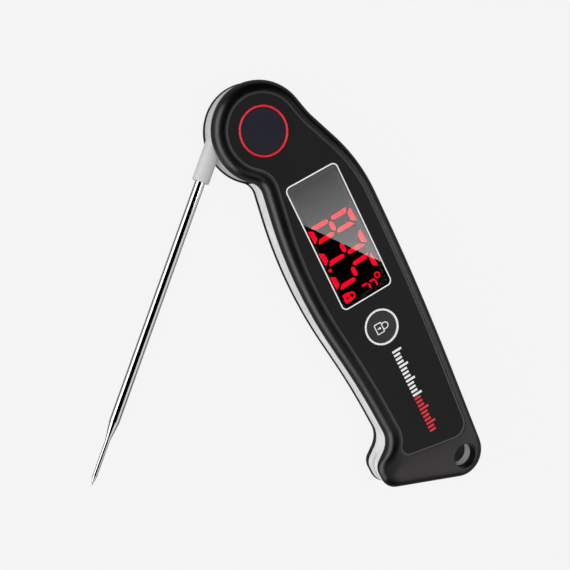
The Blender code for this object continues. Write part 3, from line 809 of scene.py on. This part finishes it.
def arch(centre, inner, outer, leg):
    """An outline of half a ring on two straight legs, open downwards."""
    steps = 20
    angles = [pi * step / steps for step in range(steps + 1)]
    x, y = centre
    outline = [Vector((x + outer, y - leg))]
    outline += [Vector((x + outer * cos(a), y + outer * sin(a))) for a in angles]
    outline += [Vector((x - outer, y - leg)), Vector((x - inner, y - leg))]
    outline += [Vector((x + inner * cos(a), y + inner * sin(a))) for a in reversed(angles)]
    outline.append(Vector((x + inner, y - leg)))
    return outline


def circle_facing(outline, centre, radius):
    """Points on a circle, each one facing a point of the outline round it."""
    middle = Vector(centre)
    return [middle + (Vector(point) - middle).normalized() * radius for point in outline]


def build_reading():
    """The lit segments on the module: 83.5, the unit sign and a small padlock."""
    low, high = PANEL_FLOOR, PANEL_FLOOR + 0.12
    base = -1.17
    outlines = []
    for digit, left in (("8", 36.5), ("3", 45.0), ("5", 54.3)):
        for letter in SEGMENTS_OF[digit]:
            outlines.append(shifted(digit_segments()[letter], left, base))
    outlines.append(circle(0.55, (53.0, -0.17), 24))
    bars = [(64.05, 12.9, 66.0, 13.4), (64.05, 10.2, 65.8, 10.7)]
    bars += [(63.35, 11.1, 63.85, 13.0), (63.35, 7.9, 63.85, 9.9)]
    outlines += [rounded(rectangle(bar, 0.15), 3) for bar in bars]
    outlines.append(arch((64.55, 3.05), 0.8, 1.25, 0.5))
    mesh = bmesh.new()
    for outline in outlines:
        add_rings(mesh, [at_height(outline, low), at_height(outline, high)])
    degree_centre, lock_centre = (62.85, 14.65), (64.55, 1.1)
    degree = circle(1.1, degree_centre, 32)
    lock = rounded(rectangle(around(lock_centre, 3.2, 2.6), 0.4), 4)
    for outer, centre, radius in ((degree, degree_centre, 0.8), (lock, lock_centre, 0.75)):
        inner = circle_facing(outer, centre, radius)
        add_rings(mesh, loop_rings(inner, outer, low, high), closed=True)
    show(to_object("led_segments", mesh), "led", "handle", "accent_red")


def build_pivot_disc():
    profile = round_topped(ACCENT_INNER, ACCENT_OUTER, PANEL_BACK, FACE - 0.25, 0.4, 8)
    accent = turned("accent_ring", profile, segments=160, closed=True)
    show(accent, "accent", "handle", "accent_red", "red_accent_ring")
    edge = ACCENT_INNER - GAP / 3
    top = FACE - 0.1
    disc_profile = [(edge, PANEL_BACK, 0), (edge, top, 0.3), (0.4, top, 0), (0.2, top, 0)]
    disc = turned("pivot_disc", softened(disc_profile))
    show(disc, "navy", "handle", "pivot_cap_navy", "pivot_cap")


def dome(x, y):
    """Height of the round button's slightly domed top."""
    distance = sqrt((x - LOCK_CENTRE.x) ** 2 + (y - LOCK_CENTRE.y) ** 2)
    return FACE + 0.05 - 0.12 * (distance / LOCK_RADIUS) ** 2


def build_hold_button():
    stem_end = FRONT_CEILING - 0.1
    base = stem_end + 0.8
    shoulder, top, edge = FACE - 0.4, FACE - 0.07, 0.35
    profile = [(1.5, stem_end), (1.5, base), (LOCK_RADIUS, base), (LOCK_RADIUS, shoulder)]
    for step in range(1, 6):
        angle = pi / 2 * step / 5
        height = shoulder + (top - shoulder) * sin(angle)
        profile.append((LOCK_RADIUS - edge * (1 - cos(angle)), height))
    for step in range(6, 0, -1):
        radius = (LOCK_RADIUS - edge) * step / 6.5
        profile.append((radius, dome(LOCK_CENTRE.x + radius, LOCK_CENTRE.y)))
    button = turned("hold_button", profile, LOCK_CENTRE)
    show(button, "button", "lock_button", "lock_button_grey", "lock_button")
    ring = round_topped(LOCK_RADIUS + GAP / 2, LOCK_RING_OUTER, PANEL_BACK, FACE - 0.1, 0.2, 6)
    white = turned("hold_button_ring", ring, LOCK_CENTRE, closed=True)
    show(white, "white_print", "handle", "lock_ring_white", "lock_button_ring")
    build_padlock_mark()


def build_padlock_mark():
    """A generic padlock printed in thin lines on the round button."""
    x, y = LOCK_CENTRE
    line = 0.36
    body = (x - 2.0, y - 2.7, x + 2.0, y + 0.4)
    mesh = bmesh.new()
    outer = rounded(rectangle(body, 0.5), 5)
    inner = rounded(rectangle(body, 0.5, -line), 5)
    low, high = FACE, FACE + 0.09
    add_rings(mesh, loop_rings(inner, outer, low, high), closed=True)
    for outline in (arch((x, y + 1.35), 1.3 - line, 1.3, 0.95), circle(0.42, (x, y - 0.95), 20)):
        add_rings(mesh, [at_height(outline, low), at_height(outline, high)])
    stem = rounded(rectangle(around((x, y - 1.55), 0.3, 0.7), 0.1), 2)
    add_rings(mesh, [at_height(stem, low), at_height(stem, high)])
    for vertex in mesh.verts:
        top = dome(vertex.co.x / MM, vertex.co.y / MM)
        vertex.co.z = (top - 0.03 if vertex.co.z / MM < FACE + 0.05 else top + 0.03) * MM
    show(to_object("hold_button_mark", mesh), "white_print", "lock_button", "lock_ring_white")


def build_scale_print():
    """A printed row of ticks that turns from white to red, in place of lettering."""
    first, first_red, last, count = 90.2, 109.0, 123.2, 23
    base, short_tick, long_tick, half_width = 6.9, 2.6, 3.8, 0.42
    outlines = {"white": [], "red": []}
    for index in range(count):
        x = first + (last - first) * index / (count - 1)
        height = long_tick if index % 4 == 0 else short_tick
        colour = "white" if x < first_red else "red"
        tick = (x - half_width, base, x + half_width, base + height)
        outlines[colour].append(rounded(rectangle(tick, 0.12), 2))
    low, high = FACE + 0.002, FACE + 0.03
    for colour, slot in (("white", "lock_ring_white"), ("red", "accent_red")):
        print_piece = prisms(f"scale_print_{colour}", outlines[colour], low, high)
        show(print_piece, f"{colour}_print", "handle", slot)


# Hinge and probe


def build_hub():
    bore = SHAFT_RADIUS + GAP
    low_floor, high_floor = BAND_LOW + SEAL_DEPTH, BAND_HIGH - SEAL_DEPTH
    washer_seat = BAND_HIGH - WASHER_DEPTH
    profile = [(bore, BAND_LOW, 0), (SEAL_INNER, BAND_LOW, 0), (SEAL_INNER, low_floor, 0)]
    profile += [(SEAL_OUTER, low_floor, 0), (SEAL_OUTER, BAND_LOW, 0), (HUB_RADIUS, BAND_LOW, 0.5)]
    profile += [(HUB_RADIUS, BAND_HIGH, 0.5), (SEAL_OUTER, BAND_HIGH, 0), (SEAL_OUTER, high_floor, 0)]
    profile += [(SEAL_INNER, high_floor, 0), (SEAL_INNER, washer_seat, 0), (bore, washer_seat, 0)]
    hub = turned("hub_and_arm", softened(profile), segments=144, closed=True)
    arm_profile = [(ARM_RADIUS, 4.0, 0), (ARM_RADIUS, ARM_END, 0.35), (0.5, ARM_END, 0)]
    arm = turned("hub_arm", softened(arm_profile), segments=64)
    lay_along_x(arm, 0, -PROBE_OFFSET, PROBE_HEIGHT)
    combine(hub, arm, "UNION")
    socket_radius = PROBE_RADIUS + GAP / 2
    socket = turned("hub_bore", [(socket_radius, TUBE_START - 0.5), (socket_radius, 40)])
    lay_along_x(socket, 0, -PROBE_OFFSET, PROBE_HEIGHT)
    combine(hub, socket)
    magnet = WAKE_MAGNET_ARM * cos(WAKE_MAGNET_ANGLE), WAKE_MAGNET_ARM * sin(WAKE_MAGNET_ANGLE)
    hole(hub, "wake_magnet_pocket", 1.8, BAND_HIGH - 2.6, BAND_HIGH + 1, magnet)
    settle(hub)
    open_probe(hub)
    show(hub, "hub", "probe", "probe_hub_light_grey", "probe_hub")


def build_probe_tube():
    tip = [(0.06, TIP_END, 0), (0.3, TIP_END - 0.7, 0.6), (TIP_RADIUS, TIP_END - 3.2, 4.0)]
    outside = tip + [(TIP_RADIUS, TAPER_END, 3.0), (PROBE_RADIUS, TAPER_START, 3.0)]
    outside.append((PROBE_RADIUS, TUBE_START, 0))
    bore = [Vector((1.2, TUBE_START)), Vector((1.2, TAPER_START)), Vector((0.45, TAPER_END - 0.5))]
    bore.append(Vector((0.42, TIP_END - 6.0)))
    tube = turned("probe_steel_tube", softened(outside, 8) + bore, segments=64)
    lay_along_x(tube, 0, -PROBE_OFFSET, PROBE_HEIGHT)
    open_probe(tube)
    show(tube, "steel", "probe", "probe_steel", "probe_tube")


# Back


def build_battery_cover():
    """The cover with its grip grooves and its screw."""
    cover = soft_prism("rear_battery_cover", rectangle(COVER, 2.7), 0.0, COVER_THICKNESS, 0.3, 3)
    plug = rounded(rectangle(bay_box(), 2.0, -1.2))
    combine(cover, prism("cover_plug", plug, 0.5, REAR_FLOOR - 0.2), "UNION")
    hole(cover, "cover_screw_seat", 1.9, -1, 0.65, COVER_SCREW)
    hole(cover, "cover_screw_hole", COVER_SCREW_HOLE_RADIUS, -1, COVER_THICKNESS + 1, COVER_SCREW)
    first, pitch = COVER[0] + 4.0, 1.5
    width, length, depth = 0.7, 9.0, 0.35
    middle = (COVER[1] + COVER[3]) / 2
    for number in range(7):
        place = around((first + pitch * number, middle), width, length)
        groove = rounded(rectangle(place, 0.34), 4)
        combine(cover, prism(f"grip_groove_{number}", groove, -1, depth))
    settle(cover)
    show(cover, "cover", "handle", "battery_cover_black", "battery_cover")
    head, shank, head_high = 1.6, 0.65, 0.6
    profile = [(0.2, 0.02, 0), (1.2, 0.05, 0.3), (head, 0.25, 0.1)]
    profile += [(head, head_high, 0), (shank, head_high, 0), (shank, REAR_EDGE - 1.0, 0)]
    screw = turned("battery_cover_screw", softened(profile), COVER_SCREW, 48)
    cross_recess(screw, COVER_SCREW, 0.05, 0.4, 1.9)
    settle(screw)
    show(screw, "screw", "handle", "screw_steel", "cover_screw")


def build_unit_button():
    """The small button in the back, with a shallow finger dimple."""
    top = box_of("unit_button")[1].z
    flange_low = REAR_FLOOR + GAP
    flange_high = flange_low + 0.9
    flange, stem = UNIT_RADIUS + 1, 1.3
    profile = [(0.15, UNIT_BOTTOM + 0.22, 0), (1.3, UNIT_BOTTOM + 0.12, 0.6), (1.7, UNIT_BOTTOM, 0.3)]
    profile += [(UNIT_RADIUS, UNIT_BOTTOM, 0.35), (UNIT_RADIUS, flange_low, 0)]
    profile += [(flange, flange_low, 0), (flange, flange_high, 0), (stem, flange_high, 0), (stem, top, 0)]
    button = turned("rear_unit_button", softened(profile), UNIT_CENTRE, 64)
    show(button, "unit", "unit_button", "unit_button_rubber", "unit_button")


# Inner pieces, which keep their CAD shape

INNER_FINISHES = {
    "pivot_shaft": "turned_steel",
    "pivot_screw": "screw",
    "wave_washer": "spring",
    "hub_seal_front": "seal",
    "hub_seal_rear": "seal",
    "battery_cover_seal": "seal",
    "wake_magnet": "nickel",
    "rear_magnet_1": "nickel",
    "rear_magnet_2": "nickel",
    "circuit_board": "board",
    "microcontroller": "chip",
    "reed_switch": "chip",
    "lock_switch": "switch",
    "unit_switch": "switch",
    "battery_cell": "cell",
    "battery_contact": "contact",
    "battery_spring": "contact",
    "sensor_bead": "bead",
    "sensor_lead": "insulation",
}


def finish_inner_pieces():
    for node, name in INNER_FINISHES.items():
        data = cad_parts[node].data
        data.materials.clear()
        data.materials.append(MATERIALS[name])


# Stage


def build_floor():
    """A plain pale floor that glows evenly, so that the object throws next to no shadow.

    Glossy surfaces see it dimmer than the camera does.
    """
    mesh = bmesh.new()
    bmesh.ops.create_grid(mesh, x_segments=8, y_segments=8, size=12.0)
    floor = to_object("floor", mesh)
    floor.location.z = -0.0005
    material = bpy.data.materials.new("pale_floor")
    material.use_nodes = True
    shader = material.node_tree.nodes["Principled BSDF"]
    shader.inputs["Base Color"].default_value = (0.04, 0.04, 0.04, 1)
    shader.inputs["Roughness"].default_value = 1.0
    shader.inputs["Specular IOR Level"].default_value = 0.0
    shader.inputs["Emission Color"].default_value = (1, 1, 1, 1)
    nodes, links = material.node_tree.nodes, material.node_tree.links
    to_camera, to_glossy = 0.875, 0.17
    glow = nodes.new("ShaderNodeMapRange")
    glow.inputs["To Min"].default_value = to_camera
    glow.inputs["To Max"].default_value = to_glossy
    links.new(nodes.new("ShaderNodeLightPath").outputs["Is Glossy Ray"], glow.inputs["Value"])
    links.new(glow.outputs["Result"], shader.inputs["Emission Strength"])
    floor.data.materials.append(material)


def area_light(name, size, energy):
    """A rectangular area light at the origin, linked into the scene."""
    light = bpy.data.lights.new(name, "AREA")
    light.shape = "RECTANGLE"
    light.size, light.size_y = size
    light.energy = energy
    lamp = bpy.data.objects.new(name, light)
    bpy.context.scene.collection.objects.link(lamp)
    return lamp


def softbox(name, place, aim, size, radiance, colour=(1.0, 1.0, 1.0), mirrored=True):
    """An area light, in metres, that looks as bright as its radiance.

    A mirrored one shows in glossy surfaces only, and any other lights matt surfaces only.
    """
    lamp = area_light(name, size, radiance * pi * size[0] * size[1])
    lamp.data.color = colour
    lamp.location = place
    lamp.rotation_mode = "QUATERNION"
    lamp.rotation_quaternion = (Vector(aim) - Vector(place)).to_track_quat("-Z", "Y")
    lamp.visible_glossy = mirrored
    lamp.visible_diffuse = not mirrored
    lamp.visible_transmission = mirrored


EYE = Vector((-0.03513, -0.11047, 0.35641))


def build_window_glare():
    """A light whose mirror image covers one half of the window, up to a slanting line.

    It gets brighter towards the tail.
    """
    height, width, depth = 0.7, 0.3, 0.13
    mirrored_eye = Vector((EYE.x, EYE.y, 2 * FACE * MM - EYE.z))
    enlarged = (height - mirrored_eye.z) / (FACE * MM - mirrored_eye.z)

    def seen_at(x, y):
        return mirrored_eye.lerp(Vector((x, y, FACE)) * MM, enlarged)

    first, last = seen_at(34.3, -1.9), seen_at(59.5, 17.8)
    along = (last - first).normalized()
    across = Vector((-along.y, along.x, 0))
    lamp = area_light("window_glare", (width, depth), pi * width * depth)
    middle = (first + last) / 2 + across * depth / 2
    lamp.matrix_world = Matrix.Translation(middle) @ Matrix.Rotation(atan2(along.y, along.x), 4, "Z")
    # The strength near the window's head end, and what it gains in each metre from there.
    start, start_strength, rise = 0.0225, 1.3, 93.0
    seen_middle = (middle.x - mirrored_eye.x) / enlarged + mirrored_eye.x
    middle_strength = start_strength + rise * (seen_middle - start)
    across_width = rise * width * along.x / enlarged
    across_depth = rise * depth * across.x / enlarged
    grade_light(lamp.data, middle_strength, across_width, across_depth)


def grade_light(light, middle, across_width, across_depth):
    """Makes an area light's strength change evenly over its width and its depth."""
    light.use_nodes = True
    nodes, links = light.node_tree.nodes, light.node_tree.links
    place = nodes.new("ShaderNodeNewGeometry").outputs["Parametric"]
    weigh = nodes.new("ShaderNodeVectorMath")
    weigh.operation = "DOT_PRODUCT"
    weigh.inputs[1].default_value = (across_width, across_depth, 0)
    links.new(place, weigh.inputs[0])
    shift = nodes.new("ShaderNodeMath")
    shift.operation = "ADD"
    shift.inputs[1].default_value = middle - (across_width + across_depth) / 2
    links.new(weigh.outputs["Value"], shift.inputs[0])
    links.new(shift.outputs["Value"], nodes["Emission"].inputs["Strength"])


def build_lights():
    """Softboxes that show in the glossy surfaces, and fills that light the matt ones."""
    target = (0.06, 0.0, 0.01)
    for number, azimuth in enumerate((218, 252, 286)):
        place = target[0] + cos(radians(azimuth)), sin(radians(azimuth)), 0.31
        softbox(f"left_softbox_{number}", place, target, (0.63, 0.66), 2.15)
    softbox("right_softbox", (0.72, 0.56, 0.69), target, (1.6, 0.95), 0.75, (1.0, 0.92, 0.91))
    softbox("tail_softbox", (0.72, -0.28, 0.85), target, (0.75, 0.5), 0.35, (1.0, 0.92, 0.91))
    softbox("left_fill", (-0.3, -0.95, 0.4), target, (1.5, 0.6), 1.35, mirrored=False)
    softbox("front_fill", (-0.15, -0.28, 1.0), target, (0.9, 0.9), 2.0, mirrored=False)
    build_window_glare()


def build_world():
    """Soft light for the matt surfaces, and pale where the camera looks past the floor."""
    world = bpy.data.worlds.new("studio")
    bpy.context.scene.world = world
    world.use_nodes = True
    nodes, links = world.node_tree.nodes, world.node_tree.links
    world.cycles_visibility.glossy = False
    world.cycles_visibility.transmission = False
    soft = nodes["Background"]
    soft.inputs["Color"].default_value = (1, 1, 1, 1)
    soft.inputs["Strength"].default_value = 0.4
    pale = nodes.new("ShaderNodeBackground")
    pale.inputs["Color"].default_value = (1, 1, 1, 1)
    pale.inputs["Strength"].default_value = 0.91
    mix = nodes.new("ShaderNodeMixShader")
    links.new(nodes.new("ShaderNodeLightPath").outputs["Is Camera Ray"], mix.inputs["Fac"])
    links.new(soft.outputs["Background"], mix.inputs[1])
    links.new(pale.outputs["Background"], mix.inputs[2])
    links.new(mix.outputs["Shader"], nodes["World Output"].inputs["Surface"])


def build_camera():
    data = bpy.data.cameras.new("camera")
    data.sensor_width = 36.0
    data.lens = 67.2
    data.clip_start = 0.01
    camera = bpy.data.objects.new("camera", data)
    right = Vector((0.43411, 0.83459, 0.33913))
    up = Vector((-0.86994, 0.48615, -0.08281))
    back = Vector((-0.23398, -0.25907, 0.93709))
    turn = Matrix((right, up, back)).transposed().to_4x4()
    camera.matrix_world = Matrix.Translation(EYE) @ turn
    bpy.context.scene.collection.objects.link(camera)
    bpy.context.scene.camera = camera


bpy.context.scene.view_settings.view_transform = "Standard"
build_camera()
build_world()
build_lights()
build_floor()
build_front_cover()
build_rear_cover()
build_light_band()
build_housing_screws()
build_panel()
build_window()
build_reading()
build_pivot_disc()
build_hold_button()
build_scale_print()
build_hub()
build_probe_tube()
build_battery_cover()
build_unit_button()
finish_inner_pieces()
